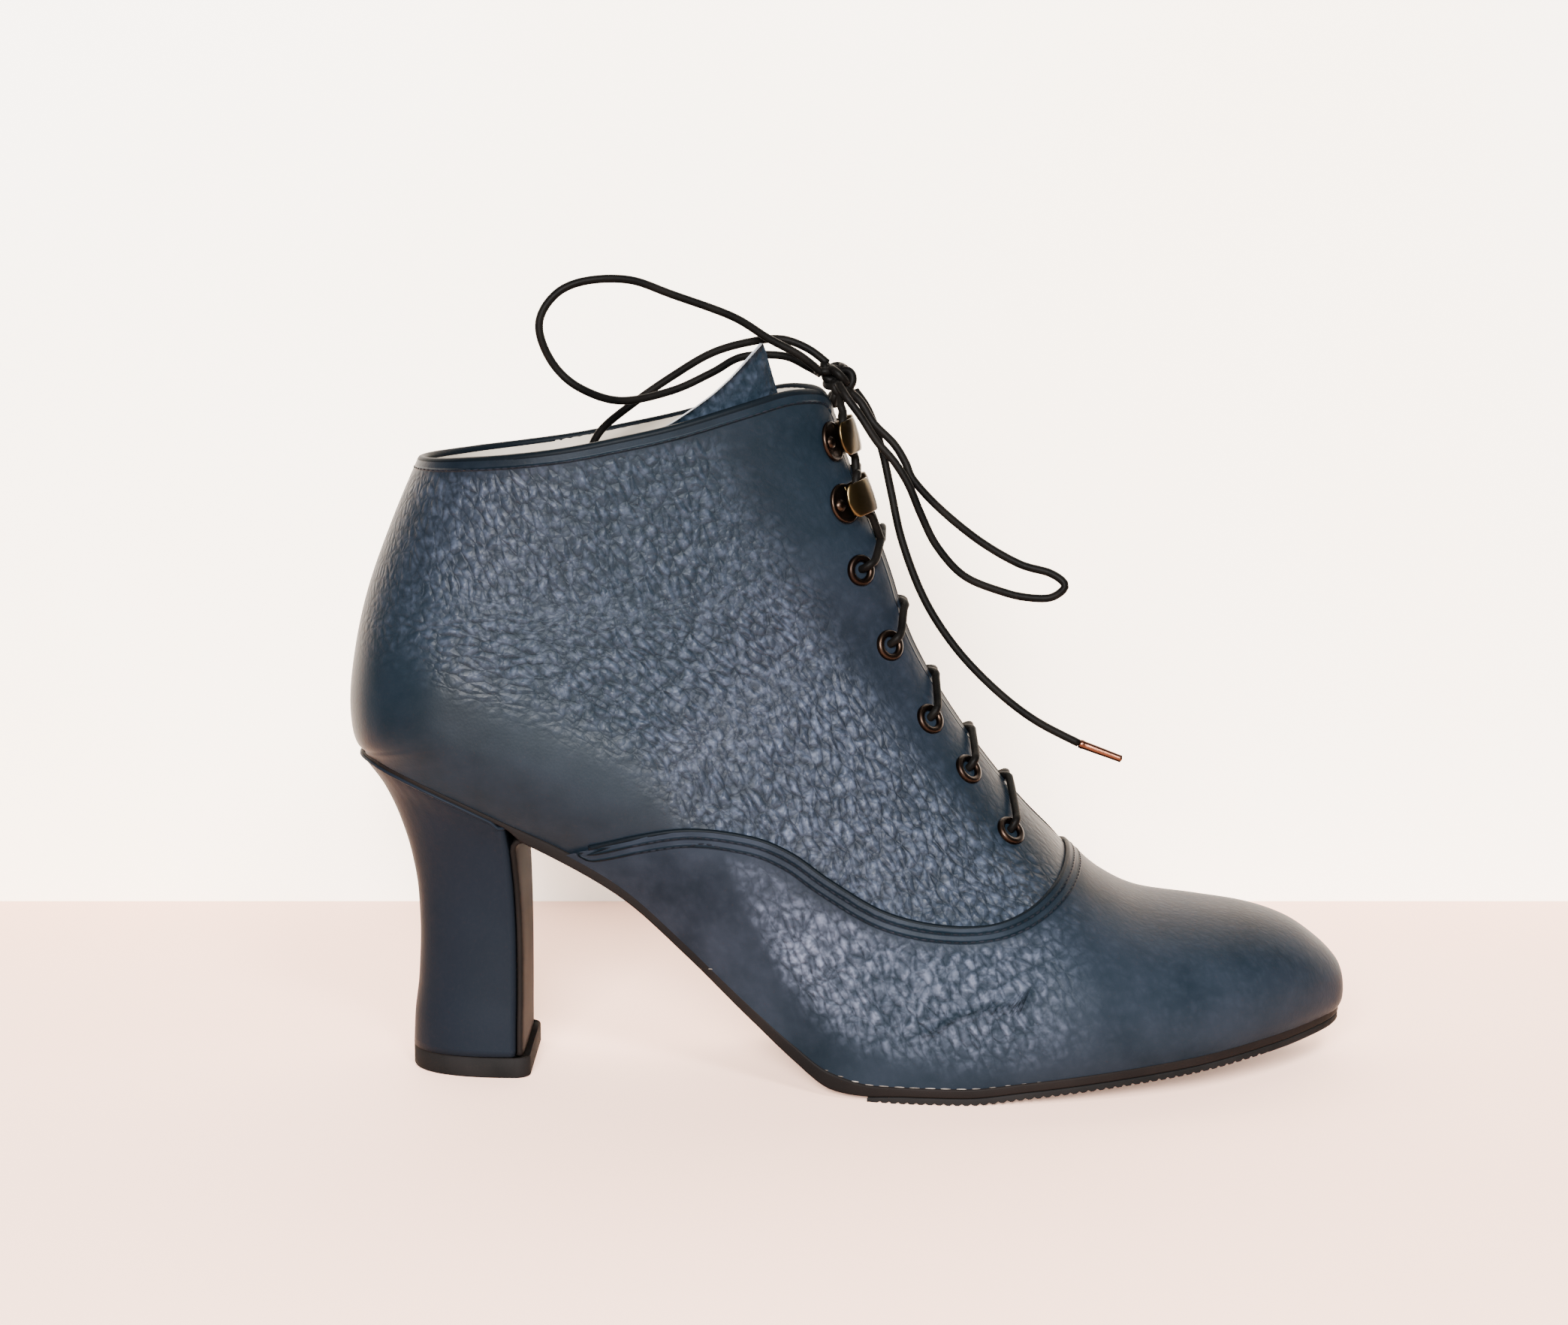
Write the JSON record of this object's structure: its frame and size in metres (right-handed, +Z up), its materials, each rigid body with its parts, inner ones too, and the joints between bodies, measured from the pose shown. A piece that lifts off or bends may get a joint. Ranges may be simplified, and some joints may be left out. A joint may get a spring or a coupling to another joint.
{
  "type": "ankle boot",
  "caption": "Dark navy pebbled leather Victorian lace-up ankle boot with a covered flared heel, bronze eyelets, brass speed hooks and a black waxed lace tied in a bow.",
  "frame": {"origin": "on the floor, under the middle of the boot's bounding box, cords left out", "axes": "+X from heel to toe, +Y to the medial (inner) side, +Z up"},
  "size_m": [0.2416, 0.0846, 0.1907],
  "materials": {
    "leather": "pebbled, soft sheen",
    "lining": "matte",
    "sole_leather": "smooth, semi-gloss",
    "rubber": "matte",
    "bronze": "dark antique",
    "gilt": "antique, semi-gloss",
    "lace": "waxed, satin",
    "copper": "polished"
  },
  "bodies": {
    "root": {"upper": "leather", "tongue": "leather", "insole": "lining", "outsole": "sole_leather", "half_sole": "rubber", "heel": "leather", "top_lift": "rubber", "eyelet_lateral_1": "bronze", "eyelet_lateral_2": "bronze", "eyelet_lateral_3": "bronze", "eyelet_lateral_4": "bronze", "eyelet_lateral_5": "bronze", "eyelet_medial_1": "bronze", "eyelet_medial_2": "bronze", "eyelet_medial_3": "bronze", "eyelet_medial_4": "bronze", "eyelet_medial_5": "bronze", "hook_lateral_1": "gilt", "hook_lateral_2": "gilt", "hook_medial_1": "gilt", "hook_medial_2": "gilt", "lace_crossings": "lace", "lace_knot": "lace", "lace_loop_back": "lace", "lace_loop_front": "lace", "lace_end_back": "lace", "lace_end_front": "lace", "aglet": "copper"}
  },
  "joints": []
}
